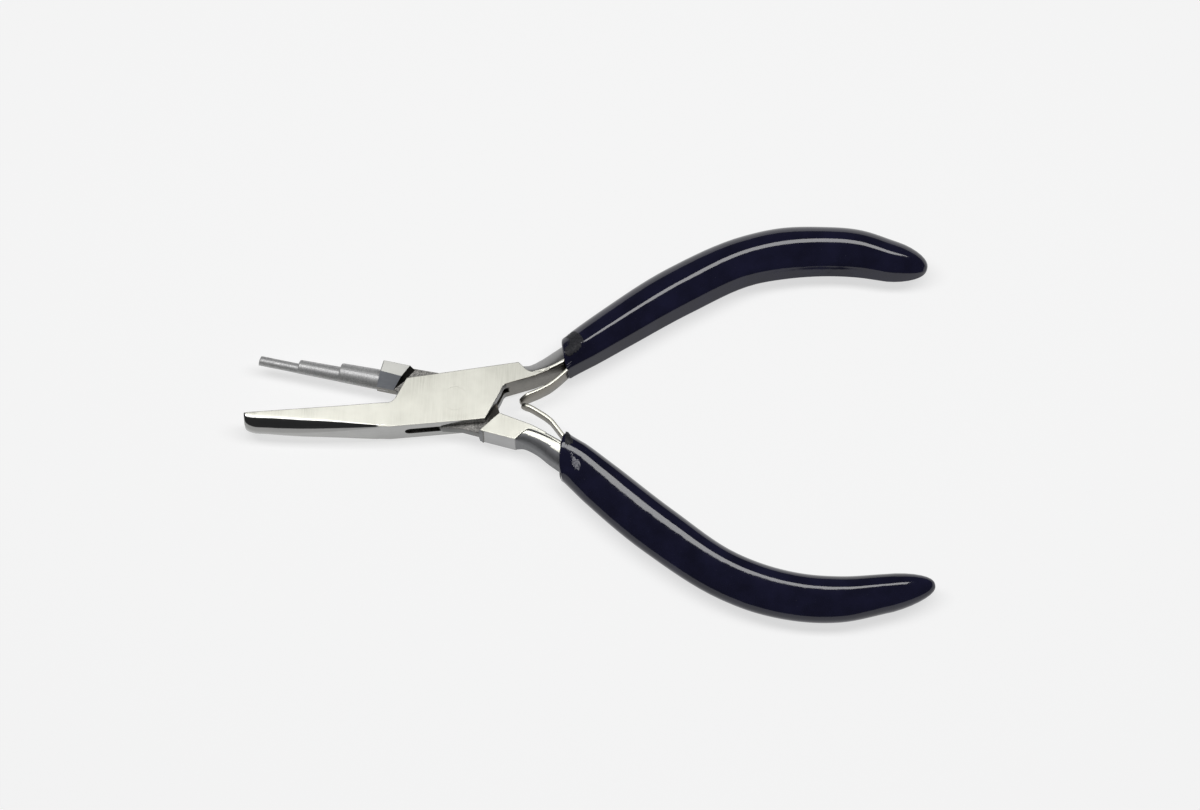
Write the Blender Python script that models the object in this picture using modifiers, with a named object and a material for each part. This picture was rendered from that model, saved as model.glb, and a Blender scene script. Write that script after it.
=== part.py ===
"""Round nose wire-looping pliers: a box joint, one stepped jaw, one concave jaw, two leaf springs
and two dipped grips.

The tool lies flat. +X runs from the joint to the handles, +Z through the thickness, and the origin
is on the pivot's axis at the outer face of the back cheek. All sizes below are in millimetres.
"""
import math

import bmesh
import bpy
from mathutils import Matrix, Vector

MM = 0.001

# Box joint
THICKNESS = 8.0
MIDDLE = THICKNESS / 2
SLOT = 2.8
TONGUE = 2.4
RIVET_RADIUS = 2.5
RIVET_CLEARANCE = 0.3
RIVET_CHAMFER = 0.2

# Jaws, measured from the pivot along each jaw's straight side
CONCAVE_ANGLE = 6.05
STEPPED_ANGLE = -9.44
GROOVE_RADIUS = 2.4
GROOVE_DEPTH = 0.7
GROOVE_START = 15.5
GROOVE_END = 44.5
GROOVE_SIDES = 24

# Springs and grips
LEAF_THICKNESS = 0.6
LOWER_LEAF_THICKNESS = 0.7
UPPER_LEAF_WIDTH = 5.4
LOWER_LEAF_WIDTH = 3.0
LEAF_TIP_START = 0.8
LEAF_TIP_TAPER = 1.1
SPRING_RIVET_RADIUS = 0.9
SPRING_RIVET_HEAD = 1.4
SPRING_HOLE_RADIUS = 1.2
SPRING_HOLE_DEPTH = (-3.4, 1.6)
GRIP_WALL = 1.1
GRIP_FULLNESS = 0.94
GRIP_END_TAPER = 0.1
GRIP_END_ANGLES = (20.0, 40.0, 58.0, 74.0, 85.0)
GRIP_MOUTH = 0.4
HOLLOW_CORNER = (2.0, 2.0)

# Face count of round stretches
CORNER_STEPS = 3
ARC_STEPS = 5
STEP_SIDES = 4
LOFT_STEPS = 2
ROUND_SIDES = 32
SHARP_ANGLE = 35.0

# Plan outline of the outer half's full-thickness box: x, y and corner radius
BOX_OUTLINE = [
    (-15.2, -1.66, 0.0), (-12.5, -1.38, 1.9), (-10.0, 4.0, 0.3), (12.45, 8.42, 0.2),
    (14.6, 6.45, 2.6), (17.2, 6.55, 1.6), (18.9, 7.6, 0.0), (18.7, 6.98, 0.0), (15.9, 5.6, 4.0),
    (9.7, 3.4, 1.2), (9.1, 1.8, 2.0), (6.35, -3.98, 0.0), (-12.9, -6.62, 3.0),
    (-15.2, -6.66, 0.0),
]
# What the tongue needs between the two cheeks
SLOT_OUTLINE = [
    (-15.0, 0.6, 0.0), (-13.05, -1.15, 0.0), (-12.7, -2.2, 1.0), (-10.0, -5.6, 1.0),
    (-9.4, -8.5, 0.0), (11.0, -8.5, 0.0), (13.5, -1.0, 0.0), (11.6, 3.4, 1.0), (6.6, 5.75, 4.0),
    (1.2, 6.35, 0.5), (0.9, 9.0, 0.0), (-15.0, 9.0, 0.0),
]
# The inner half's thin tongue, as it stands with the jaws open
TONGUE_OUTLINE = [
    (-13.0, 2.2, 0.0), (-11.9, 2.0, 0.8), (-6.2, -2.4, 6.0), (-2.5, -5.45, 0.6),
    (1.6, -5.5, 3.0), (6.4, -6.6, 0.0), (9.6, -5.0, 0.0), (9.3, -2.3, 0.6), (8.2, 1.0, 3.0),
    (3.6, 5.3, 3.0), (-0.4, 5.8, 3.0), (-12.0, 7.4, 0.0),
]
# The inner half's full-thickness shoulder behind the box
SHOULDER_OUTLINE = [
    (9.1, -2.62, 0.2), (5.28, -6.52, 0.2), (12.5, -8.12, 0.2), (15.0, -5.6, 2.4),
    (16.6, -5.75, 1.6), (18.6, -6.8, 0.0), (18.8, -6.32, 0.0), (15.8, -4.86, 3.0),
]
# Slope from the tongue to the shoulder: distance in front of it, and half thickness there
SHOULDER_RAMP = [(0.6, 1.15), (0.0, 3.9), (-0.8, 3.9)]
RAMP_INSET = 0.15
RAMP_CORNER = (0.1, 0.1)

# Concave jaw: reach, depth, half thickness, and the rounding of its inner and outer corners
CONCAVE_JAW = [
    (42.5, 2.1, 2.66, 0.1, 1.8), (42.1, 2.85, 2.82, 0.1, 2.4), (41.4, 3.25, 2.9, 0.1, 2.6),
    (38.5, 3.72, 3.0, 0.1, 2.75), (31.3, 4.5, 3.3, 0.1, 2.5), (25.0, 4.83, 3.53, 0.1, 1.95),
    (19.3, 5.0, 3.8, 0.1, 1.1), (15.2, 4.95, 3.96, 0.1, 0.45), (12.5, 4.7, 3.96, 0.1, 0.3),
]
# Stepped jaw: reach and radius, and how much of the radius its corners are rounded by
STEPPED_JAW = [
    (41.0, 0.8), (40.8, 1.0), (33.0, 1.0), (32.9, 1.3), (32.6, 1.43), (24.5, 1.53),
    (24.4, 1.8), (24.1, 1.95), (14.0, 2.12),
]
STEP_ROUNDNESS = 0.98
# Stop block: reach of its inner and outer edge, half thickness, facet height and edge rounding
STOP_BLOCK = [
    (15.75, 15.65, 3.6, 3.5, 0.1), (13.1, 10.45, 3.6, 3.5, 0.1), (12.4, 9.6, 1.15, 0.1, 0.1),
]
BLOCK_HEIGHTS = (0.1, 5.15)
BLOCK_FACET = 2.8

# Tang and core of each handle: inner plan point, outer plan point, half thickness,
# and the reach of the inner and outer corner rounding (across, up)
UPPER_TANG = [
    ((11.4, 4.15), (10.8, 7.5), 3.9, (0.2, 0.2), (2.6, 2.3)),
    ((13.4, 4.62), (12.8, 8.5), 3.9, (0.2, 0.2), (3.2, 2.3)),
    ((15.9, 5.63), (14.7, 9.0), 3.9, (0.2, 0.2), (3.0, 2.3)),
    ((18.7, 7.0), (17.0, 10.35), 3.85, (0.2, 0.2), (3.2, 2.2)),
    ((21.8, 8.65), (19.6, 12.3), 3.65, (0.3, 0.3), (3.6, 2.0)),
    ((26.2, 12.5), (24.2, 15.7), 3.2, (0.8, 0.8), (2.6, 1.8)),
    ((32.5, 16.6), (30.0, 20.4), 3.1, (1.0, 1.0), (1.8, 1.8)),
    ((45.9, 23.7), (42.4, 29.1), 2.9, (1.6, 1.6), (1.6, 1.6)),
    ((59.6, 31.0), (57.6, 37.0), 2.7, (1.6, 1.6), (1.6, 1.6)),
    ((73.1, 33.7), (72.9, 39.3), 2.4, (1.6, 1.6), (1.6, 1.6)),
    ((82.6, 33.8), (83.2, 38.2), 2.0, (1.4, 1.4), (1.4, 1.4)),
]
LOWER_TANG = [
    ((10.4, -3.5), (10.0, -7.0), 3.9, (0.2, 0.2), (2.6, 2.3)),
    ((13.2, -4.35), (12.4, -7.85), 3.9, (0.2, 0.2), (2.8, 2.3)),
    ((15.8, -5.12), (14.3, -8.3), 3.9, (0.2, 0.2), (2.9, 2.3)),
    ((18.8, -6.45), (17.0, -9.6), 3.85, (0.2, 0.2), (3.1, 2.2)),
    ((21.9, -7.97), (19.6, -11.45), 3.65, (0.3, 0.3), (3.6, 2.0)),
    ((25.3, -9.95), (22.8, -13.6), 3.2, (0.8, 0.8), (2.4, 1.8)),
    ((30.5, -13.8), (27.2, -18.1), 3.1, (1.0, 1.0), (1.8, 1.8)),
    ((44.3, -22.5), (40.5, -27.7), 2.9, (1.6, 1.6), (1.6, 1.6)),
    ((58.1, -31.3), (55.9, -36.9), 2.7, (1.6, 1.6), (1.6, 1.6)),
    ((71.5, -35.1), (71.1, -40.5), 2.4, (1.6, 1.6), (1.6, 1.6)),
    ((83.6, -35.0), (84.4, -39.2), 2.0, (1.4, 1.4), (1.4, 1.4)),
]

# Grips: inner plan point, outer plan point, half thickness and place of the crown across the
# width, from the collar to the far end
UPPER_GRIP = [
    ((23.1, 6.75), (21.3, 15.2), 4.9, 0.34),
    ((28.1, 9.85), (23.3, 17.1), 4.9, 0.34),
    ((34.4, 13.95), (28.6, 21.5), 4.85, 0.35),
    ((47.1, 22.1), (41.5, 31.1), 4.8, 0.38),
    ((60.0, 28.9), (57.0, 39.1), 4.7, 0.47),
    ((66.6, 30.4), (64.8, 41.2), 4.7, 0.51),
    ((73.1, 31.2), (73.0, 41.8), 4.6, 0.54),
    ((80.4, 31.3), (81.4, 41.4), 4.5, 0.55),
    ((86.7, 30.65), (88.8, 39.2), 4.3, 0.52),
]
UPPER_GRIP_END = (94.9, 34.2)
LOWER_GRIP = [
    ((23.2, -5.3), (22.7, -15.4), 4.9, 0.3),
    ((26.9, -7.5), (24.5, -17.1), 4.9, 0.3),
    ((32.6, -11.5), (27.2, -19.6), 4.85, 0.31),
    ((45.4, -20.9), (39.4, -29.3), 4.8, 0.32),
    ((58.6, -29.4), (55.2, -38.7), 4.7, 0.33),
    ((65.2, -31.7), (62.8, -41.3), 4.7, 0.34),
    ((71.7, -32.9), (70.9, -42.6), 4.6, 0.35),
    ((79.1, -33.1), (79.6, -42.4), 4.5, 0.36),
    ((87.9, -32.2), (89.9, -39.75), 4.2, 0.4),
]
LOWER_GRIP_END = (98.1, -33.75)

# Leaf springs, from the free tip to the root under the grip
UPPER_LEAF = [
    (13.1, 1.15), (14.8, 2.2), (16.8, 3.2), (18.8, 4.4), (20.1, 5.5), (22.3, 7.75), (24.4, 10.15),
    (26.8, 11.9), (33.0, 15.9),
]
LOWER_LEAF = [
    (13.45, 0.4), (15.2, -0.1), (18.4, -1.9), (19.6, -2.8), (21.9, -5.6), (23.6, -7.8),
    (25.8, -9.5), (30.9, -13.15),
]
# Spring rivets: place on the handle, direction of the shank, and profile of radius and height
UPPER_SPRING_RIVET = ((29.9, 13.75), (-0.54, 0.84))
LOWER_SPRING_RIVET = ((28.4, -11.35), (-0.58, -0.81))
SPRING_RIVET_PROFILE = [
    (0.0, 1.05), (SPRING_RIVET_HEAD - 0.2, 1.05), (SPRING_RIVET_HEAD, 0.85),
    (SPRING_RIVET_HEAD, 0.55), (SPRING_RIVET_RADIUS, 0.55), (SPRING_RIVET_RADIUS, -3.0),
    (0.0, -3.0),
]

# Colour, roughness and metallic value of each material
MATERIALS = {
    "satin_steel": ((0.72, 0.71, 0.68), 0.34, 1.0),
    "blasted_steel": ((0.48, 0.48, 0.49), 0.5, 1.0),
    "spring_steel": ((0.6, 0.59, 0.56), 0.3, 1.0),
    "grip_pvc": ((0.012, 0.013, 0.04), 0.2, 0.0),
}


def make_material(name):
    colour, roughness, metallic = MATERIALS[name]
    material = bpy.data.materials.new(name)
    material.use_nodes = True
    shader = material.node_tree.nodes["Principled BSDF"]
    shader.inputs["Base Color"].default_value = (*colour, 1.0)
    shader.inputs["Roughness"].default_value = roughness
    shader.inputs["Metallic"].default_value = metallic
    return material


def add_object(name, mesh, collection, material=None):
    thing = bpy.data.objects.new(name, mesh)
    collection.objects.link(thing)
    if material:
        mesh.materials.append(material)
    if collection.name == "cutters":
        thing.hide_render = True
        thing.display_type = "WIRE"
    return thing


def mesh_from(name, vertices, faces):
    """A closed mesh from points in millimetres, with its faces turned outwards."""
    mesh = bpy.data.meshes.new(name)
    mesh.from_pydata([Vector(point) * MM for point in vertices], [], faces)
    shell = bmesh.new()
    shell.from_mesh(mesh)
    bmesh.ops.remove_doubles(shell, verts=shell.verts, dist=1e-7)
    bmesh.ops.recalc_face_normals(shell, faces=shell.faces)
    shell.to_mesh(mesh)
    shell.free()
    return mesh


def shade(thing):
    thing.data.shade_smooth()
    thing.data.set_sharp_from_angle(angle=math.radians(SHARP_ANGLE))


def combine(target, other, operation):
    modifier = target.modifiers.new(operation.lower(), "BOOLEAN")
    modifier.object = other
    modifier.operation = operation
    modifier.solver = "EXACT"


def rounded_outline(corners):
    """Plan points of a closed outline whose corners are rounded by their third value."""
    points = []
    count = len(corners)
    for index, (x, y, radius) in enumerate(corners):
        corner = Vector((x, y))
        if radius == 0.0:
            points.append(corner)
            continue
        before = (Vector(corners[index - 1][:2]) - corner).normalized()
        after = (Vector(corners[(index + 1) % count][:2]) - corner).normalized()
        half_angle = before.angle(after) / 2
        setback = radius / math.tan(half_angle)
        centre = corner + (before + after).normalized() * (radius / math.sin(half_angle))
        start = corner + before * setback - centre
        turn = (corner + after * setback - centre).angle_signed(start)
        for step in range(ARC_STEPS + 1):
            spin = Matrix.Rotation(turn * step / ARC_STEPS, 2)
            points.append(centre + spin @ start)
    return points


def plate(name, corners, bottom, top, collection):
    """A flat outline extruded from bottom to top."""
    curve = bpy.data.curves.new(name, "CURVE")
    curve.dimensions = "2D"
    curve.fill_mode = "BOTH"
    curve.extrude = (top - bottom) / 2 * MM
    outline = rounded_outline(corners)
    spline = curve.splines.new("POLY")
    spline.points.add(len(outline) - 1)
    spline.use_cyclic_u = True
    for point, place in zip(spline.points, outline):
        point.co = (place.x * MM, place.y * MM, 0.0, 1.0)
    guide = bpy.data.objects.new(name + "_outline", curve)
    guide.location.z = (top + bottom) / 2 * MM
    collection.objects.link(guide)
    bpy.context.view_layer.update()
    evaluated = guide.evaluated_get(bpy.context.evaluated_depsgraph_get())
    mesh = bpy.data.meshes.new_from_object(evaluated)
    mesh.transform(guide.matrix_world)
    shell = bmesh.new()
    shell.from_mesh(mesh)
    bmesh.ops.remove_doubles(shell, verts=shell.verts, dist=1e-6)
    bmesh.ops.recalc_face_normals(shell, faces=shell.faces)
    shell.to_mesh(mesh)
    shell.free()
    bpy.data.objects.remove(guide)
    return add_object(name, mesh, collection)


def section(inner, outer, half, inner_corner, outer_corner, steps=CORNER_STEPS):
    """Ring of points standing on the plan line from inner to outer, rounded at its corners."""
    across = Vector(outer) - Vector(inner)
    width = across.length
    across.normalize()
    ring = []
    for start, (reach, rise), side, sign in (
        (180.0, inner_corner, 0.0, 1.0), (90.0, outer_corner, width, 1.0),
        (0.0, outer_corner, width, -1.0), (-90.0, inner_corner, 0.0, -1.0),
    ):
        centre = side + (reach if side == 0.0 else -reach)
        for step in range(steps + 1):
            angle = math.radians(start - 90.0 * step / steps)
            offset = centre + reach * math.cos(angle)
            height = sign * (half - rise) + rise * math.sin(angle)
            place = Vector(inner) + across * offset
            ring.append((place.x, place.y, MIDDLE + height))
    return ring


def loft(name, rings, collection):
    """A closed skin through rings that have the same number of points."""
    count = len(rings[0])
    vertices = [point for ring in rings for point in ring]
    faces = [list(range(count)), list(range(len(vertices) - count, len(vertices)))]
    for row in range(len(rings) - 1):
        for index in range(count):
            beside = (index + 1) % count
            faces.append((
                row * count + index, row * count + beside,
                (row + 1) * count + beside, (row + 1) * count + index,
            ))
    return add_object(name, mesh_from(name, vertices, faces), collection)


def flatten(station):
    values = []
    for entry in station:
        values.extend(entry if isinstance(entry, tuple) else (entry,))
    return values


def smooth(rows, steps=LOFT_STEPS):
    """Rows of numbers with rows added between them, evenly curved whatever their spacing."""
    gaps = [math.dist(first[:2], last[:2]) for first, last in zip(rows, rows[1:])]
    rates = [[(b - a) / gap for a, b in zip(first, last)]
             for first, last, gap in zip(rows, rows[1:], gaps)]
    slopes = [rates[0]]
    for index in range(1, len(gaps)):
        share = gaps[index - 1] / (gaps[index - 1] + gaps[index])
        slopes.append([a + (b - a) * share for a, b in zip(rates[index - 1], rates[index])])
    slopes.append(rates[-1])
    result = []
    for index, gap in enumerate(gaps):
        for step in range(steps):
            t = step / steps
            rest = 1 - t
            result.append([
                a * rest * rest * (1 + 2 * t) + b * t * t * (3 - 2 * t)
                + gap * t * rest * (p * rest - q * t)
                for a, b, p, q in zip(rows[index], rows[index + 1], slopes[index], slopes[index + 1])
            ])
    result.append(list(rows[-1]))
    return result


def tang(name, stations, collection):
    """A handle's steel: a D section in front of the collar, a bar inside the grip."""
    rings = []
    for x0, y0, x1, y1, half, a, b, c, d in smooth([flatten(row) for row in stations]):
        rings.append(section((x0, y0), (x1, y1), half, (a, b), (c, d)))
    return loft(name, rings, collection)


def grip_rings(stations, end):
    """Rings of a grip's skin, from the collar to the rounded far end."""
    rows = smooth([flatten(row) for row in stations])
    x0, y0, x1, y1, half, crown = rows[-1]
    middle = Vector(((x0 + x1) / 2, (y0 + y1) / 2))
    arm = Vector((x1 - x0, y1 - y0)) / 2
    for degrees in GRIP_END_ANGLES:
        advance = math.sin(math.radians(degrees))
        shrink = math.cos(math.radians(degrees)) * (1 - GRIP_END_TAPER * advance * (1 - advance))
        centre = middle.lerp(Vector(end), advance)
        rows.append([*(centre - arm * shrink), *(centre + arm * shrink), half * shrink, crown])
    rings = []
    for x0, y0, x1, y1, half, crown in rows:
        full = math.dist((x0, y0), (x1, y1)) * GRIP_FULLNESS
        rise = half * GRIP_FULLNESS
        rings.append(section((x0, y0), (x1, y1), half, (full * crown, rise),
                             (full * (1 - crown), rise)))
    return rings


def make_grip(name, stations, end, parts, cutters):
    """A dipped sleeve, open at the collar and closed at the far end."""
    grip = loft(name, grip_rings(stations, end), parts)
    rows = [flatten(row) for row in stations]
    mouth = [a + (a - b) * GRIP_MOUTH for a, b in zip(rows[0], rows[1])]
    rings = []
    for x0, y0, x1, y1, half, _ in smooth([mouth, *rows]):
        wall = Vector((x1 - x0, y1 - y0)).normalized() * GRIP_WALL
        rings.append(section(Vector((x0, y0)) + wall, Vector((x1, y1)) - wall, half - GRIP_WALL,
                             HOLLOW_CORNER, HOLLOW_CORNER))
    hollow = loft(name + "_hollow", rings, cutters)
    combine(grip, hollow, "DIFFERENCE")
    return grip


def cylinder(name, radius, bottom, top, collection):
    """A cylinder on the pivot's axis."""
    shell = bmesh.new()
    bmesh.ops.create_cone(
        shell, cap_ends=True, segments=ROUND_SIDES, radius1=radius * MM, radius2=radius * MM,
        depth=(top - bottom) * MM, matrix=Matrix.Translation((0.0, 0.0, (top + bottom) / 2 * MM)),
    )
    mesh = bpy.data.meshes.new(name)
    shell.to_mesh(mesh)
    shell.free()
    return add_object(name, mesh, collection)


def turned(name, profile, collection):
    """A solid of revolution about Z from an outer profile of (radius, height), top to bottom."""
    mesh = bpy.data.meshes.new(name)
    points = [(radius * MM, 0.0, height * MM) for radius, height in profile]
    mesh.from_pydata(points, [(i, i + 1) for i in range(len(points) - 1)], [])
    thing = add_object(name, mesh, collection)
    screw = thing.modifiers.new("turn", "SCREW")
    screw.steps = ROUND_SIDES
    screw.render_steps = ROUND_SIDES
    screw.use_merge_vertices = True
    screw.merge_threshold = 0.00001
    return thing


def leaf(name, path, thickness, width, collection):
    """A leaf spring: a strip standing on its path, its free tip rounded, made solid."""
    rows = smooth([list(point) for point in path])
    vertices = []
    faces = []
    half = width / 2
    travelled = 0.0
    for index, (x, y) in enumerate(rows):
        if index:
            travelled += math.dist(rows[index - 1], (x, y))
        short = max(half * LEAF_TIP_START - travelled, 0.0)
        height = math.sqrt(half * half - (short * LEAF_TIP_TAPER) ** 2)
        vertices.append((x, y, MIDDLE - height))
        vertices.append((x, y, MIDDLE + height))
        if index:
            base = 2 * index
            faces.append((base - 2, base, base + 1, base - 1))
    mesh = bpy.data.meshes.new(name)
    mesh.from_pydata([Vector(point) * MM for point in vertices], [], faces)
    thing = add_object(name, mesh, collection)
    solidify = thing.modifiers.new("thickness", "SOLIDIFY")
    solidify.thickness = thickness * MM
    solidify.offset = 0.0
    return thing


def jaw_point(angle, reach, height):
    """Plan point of a jaw: reach from the pivot, height above its straight side."""
    turned_by = math.radians(angle)
    along = Vector((-math.cos(turned_by), -math.sin(turned_by)))
    above = Vector((-math.sin(turned_by), math.cos(turned_by)))
    return along * reach + above * height


def concave_jaw(cutters):
    """Half-round jaw that swells into the square root at the box."""
    rings = []
    for reach, depth, half, round_in, round_out in CONCAVE_JAW:
        inner = jaw_point(CONCAVE_ANGLE, reach, 0.0)
        outer = jaw_point(CONCAVE_ANGLE, reach, -depth)
        rings.append(section(inner, outer, half, (round_in, round_in), (round_out, round_out)))
    return loft("concave_jaw", rings, cutters)


def groove(cutters):
    """Round cutter that hollows the concave jaw's flat face."""
    lift = GROOVE_RADIUS - GROOVE_DEPTH
    start = Vector((*jaw_point(CONCAVE_ANGLE, GROOVE_START, lift), MIDDLE))
    end = Vector((*jaw_point(CONCAVE_ANGLE, GROOVE_END, lift), MIDDLE))
    spin = (end - start).to_track_quat("Z", "Y").to_matrix().to_4x4()
    shell = bmesh.new()
    bmesh.ops.create_cone(
        shell, cap_ends=True, segments=GROOVE_SIDES, radius1=GROOVE_RADIUS * MM,
        radius2=GROOVE_RADIUS * MM, depth=(end - start).length * MM,
        matrix=Matrix.Translation((start + end) / 2 * MM) @ spin,
    )
    mesh = bpy.data.meshes.new("groove")
    shell.to_mesh(mesh)
    shell.free()
    return add_object("groove", mesh, cutters)


def stepped_jaw(cutters):
    """Three round steps that share one straight side."""
    rings = []
    for reach, radius in STEPPED_JAW:
        round_off = (radius * STEP_ROUNDNESS, radius * STEP_ROUNDNESS)
        inner = jaw_point(STEPPED_ANGLE, reach, 0.0)
        outer = jaw_point(STEPPED_ANGLE, reach, 2 * radius)
        rings.append(section(inner, outer, radius, round_off, round_off, STEP_SIDES))
    return loft("stepped_jaw", rings, cutters)


def stop_block(cutters):
    """Faceted block behind the steps; its rear face slopes down to the tongue."""
    low, high = BLOCK_HEIGHTS
    rings = []
    for inner_reach, outer_reach, half, facet, edge in STOP_BLOCK:
        inner = jaw_point(STEPPED_ANGLE, inner_reach, low)
        outer = jaw_point(STEPPED_ANGLE, outer_reach, high)
        rings.append(section(inner, outer, half, (BLOCK_FACET, facet), (edge, edge), 1))
    return loft("stop_block", rings, cutters)


def shoulder_ramp(cutters):
    """Slope from the tongue up to the shoulder's full thickness."""
    inner = Vector(SHOULDER_OUTLINE[0][:2])
    outer = Vector(SHOULDER_OUTLINE[1][:2])
    edge = (outer - inner).normalized()
    inner += edge * RAMP_INSET
    outer -= edge * RAMP_INSET
    forward = Vector((edge.y, -edge.x))
    rings = []
    for shift, half in SHOULDER_RAMP:
        rings.append(section(inner + forward * shift, outer + forward * shift, half,
                             RAMP_CORNER, RAMP_CORNER, 1))
    return loft("shoulder_ramp", rings, cutters)


def spring_rivet(name, place, toward, parts, cutters):
    """A rivet that holds a leaf to the handle, and the cutter for its hole."""
    axis = Vector((*toward, 0.0)).normalized()
    spin = axis.to_track_quat("-Z", "Y").to_matrix().to_4x4()
    frame = Matrix.Translation(Vector((*place, MIDDLE)) * MM) @ spin
    rivet = turned(name, SPRING_RIVET_PROFILE, parts)
    rivet.matrix_world = frame
    hole = cylinder(name + "_hole", SPRING_HOLE_RADIUS, *SPRING_HOLE_DEPTH, cutters)
    hole.matrix_world = frame
    return rivet, hole


def build():
    for thing in list(bpy.data.objects):
        bpy.data.objects.remove(thing)
    parts = bpy.data.collections.new("wire_looping_pliers")
    cutters = bpy.data.collections.new("cutters")
    bpy.context.scene.collection.children.link(parts)
    bpy.context.scene.collection.children.link(cutters)
    steel = make_material("satin_steel")
    blasted = make_material("blasted_steel")
    spring = make_material("spring_steel")
    pvc = make_material("grip_pvc")

    pivot = bpy.data.objects.new("jaw_pivot", None)
    parts.objects.link(pivot)

    upper_rivet, upper_hole = spring_rivet(
        "upper_spring_rivet", *UPPER_SPRING_RIVET, parts, cutters)
    lower_rivet, lower_hole = spring_rivet(
        "lower_spring_rivet", *LOWER_SPRING_RIVET, parts, cutters)

    outer_half = plate("outer_half", BOX_OUTLINE, 0.0, THICKNESS, parts)
    outer_half.data.materials.append(steel)
    combine(outer_half, concave_jaw(cutters), "UNION")
    combine(outer_half, tang("upper_tang", UPPER_TANG, cutters), "UNION")
    slot = plate("slot", SLOT_OUTLINE, MIDDLE - SLOT / 2, MIDDLE + SLOT / 2, cutters)
    combine(outer_half, slot, "DIFFERENCE")
    combine(outer_half, groove(cutters), "DIFFERENCE")
    rivet_hole = cylinder("rivet_hole", RIVET_RADIUS + RIVET_CLEARANCE, -1.0, THICKNESS + 1.0, cutters)
    combine(outer_half, rivet_hole, "DIFFERENCE")
    combine(outer_half, upper_hole, "DIFFERENCE")

    inner_half = plate("inner_half", TONGUE_OUTLINE, MIDDLE - TONGUE / 2, MIDDLE + TONGUE / 2, parts)
    inner_half.data.materials.append(blasted)
    combine(inner_half, plate("shoulder", SHOULDER_OUTLINE, 0.0, THICKNESS, cutters), "UNION")
    combine(inner_half, shoulder_ramp(cutters), "UNION")
    combine(inner_half, stop_block(cutters), "UNION")
    combine(inner_half, stepped_jaw(cutters), "UNION")
    combine(inner_half, tang("lower_tang", LOWER_TANG, cutters), "UNION")
    combine(inner_half, rivet_hole, "DIFFERENCE")
    combine(inner_half, lower_hole, "DIFFERENCE")

    pivot_rivet = turned("pivot_rivet", [
        (0.0, THICKNESS), (RIVET_RADIUS - RIVET_CHAMFER, THICKNESS),
        (RIVET_RADIUS, THICKNESS - RIVET_CHAMFER), (RIVET_RADIUS, RIVET_CHAMFER),
        (RIVET_RADIUS - RIVET_CHAMFER, 0.0), (0.0, 0.0),
    ], parts)

    upper_leaf = leaf("upper_leaf_spring", UPPER_LEAF, LEAF_THICKNESS, UPPER_LEAF_WIDTH, parts)
    combine(upper_leaf, upper_hole, "DIFFERENCE")
    lower_leaf = leaf("lower_leaf_spring", LOWER_LEAF, LOWER_LEAF_THICKNESS, LOWER_LEAF_WIDTH, parts)
    combine(lower_leaf, lower_hole, "DIFFERENCE")
    upper_grip = make_grip("upper_grip", UPPER_GRIP, UPPER_GRIP_END, parts, cutters)
    lower_grip = make_grip("lower_grip", LOWER_GRIP, LOWER_GRIP_END, parts, cutters)

    for thing, material in (
        (pivot_rivet, steel), (upper_rivet, steel), (lower_rivet, steel),
        (upper_leaf, spring), (lower_leaf, spring), (upper_grip, pvc), (lower_grip, pvc),
    ):
        thing.data.materials.append(material)
        shade(thing)
    for thing in (inner_half, lower_leaf, lower_rivet, lower_grip):
        thing.parent = pivot


build()
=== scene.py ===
import math

import bmesh
import bpy
from mathutils import Matrix, Vector, noise


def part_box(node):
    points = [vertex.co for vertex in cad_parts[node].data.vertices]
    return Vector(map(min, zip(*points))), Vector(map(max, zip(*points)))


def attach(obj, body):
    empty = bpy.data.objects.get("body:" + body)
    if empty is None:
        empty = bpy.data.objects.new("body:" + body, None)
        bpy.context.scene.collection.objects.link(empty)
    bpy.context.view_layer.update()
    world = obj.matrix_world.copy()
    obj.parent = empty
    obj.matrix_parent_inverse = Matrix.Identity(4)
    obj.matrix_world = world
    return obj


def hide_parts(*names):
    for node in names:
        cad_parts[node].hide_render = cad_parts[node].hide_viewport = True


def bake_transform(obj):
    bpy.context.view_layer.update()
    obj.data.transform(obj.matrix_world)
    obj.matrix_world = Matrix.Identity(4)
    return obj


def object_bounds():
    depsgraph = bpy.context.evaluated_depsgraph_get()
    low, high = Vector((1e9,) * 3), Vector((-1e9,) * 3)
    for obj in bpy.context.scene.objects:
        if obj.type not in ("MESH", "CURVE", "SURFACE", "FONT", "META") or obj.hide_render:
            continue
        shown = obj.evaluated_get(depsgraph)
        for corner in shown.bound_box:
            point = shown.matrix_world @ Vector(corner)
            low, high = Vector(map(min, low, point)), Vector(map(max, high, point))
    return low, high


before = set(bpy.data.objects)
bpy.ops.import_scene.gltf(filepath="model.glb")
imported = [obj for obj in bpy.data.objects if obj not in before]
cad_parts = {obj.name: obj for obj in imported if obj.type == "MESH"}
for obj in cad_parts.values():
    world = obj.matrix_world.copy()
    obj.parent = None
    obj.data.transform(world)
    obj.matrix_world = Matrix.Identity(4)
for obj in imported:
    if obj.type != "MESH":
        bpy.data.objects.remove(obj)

cad_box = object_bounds()

# Every length below is in millimetres, in the frame's own coordinates
MM = 0.001

# Box joint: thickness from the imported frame, slot and tongue inside it, pivot
LOW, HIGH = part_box("outer_half")
THICKNESS = (HIGH[2] - LOW[2]) / MM
MIDDLE = (HIGH[2] + LOW[2]) / 2 / MM
SLOT = 2.8
SLOT_FRONT_ROUND = 0.42
TONGUE = 2.6
RIVET_RADIUS = 2.5
RIVET_SEAM = 0.004
RIVET_CHAMFER = 0.03
TONGUE_CLEARANCE = 0.05
RIM = 0.13

# Jaws, measured from the pivot along the line where they meet
JAW_REACH = 42.4
CONCAVE_ANGLE = 6.05
STEPPED_ANGLE = -9.44
GROOVE_RADIUS = 2.4
GROOVE_DEPTH = 0.7
GROOVE_END = 15.5

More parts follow.
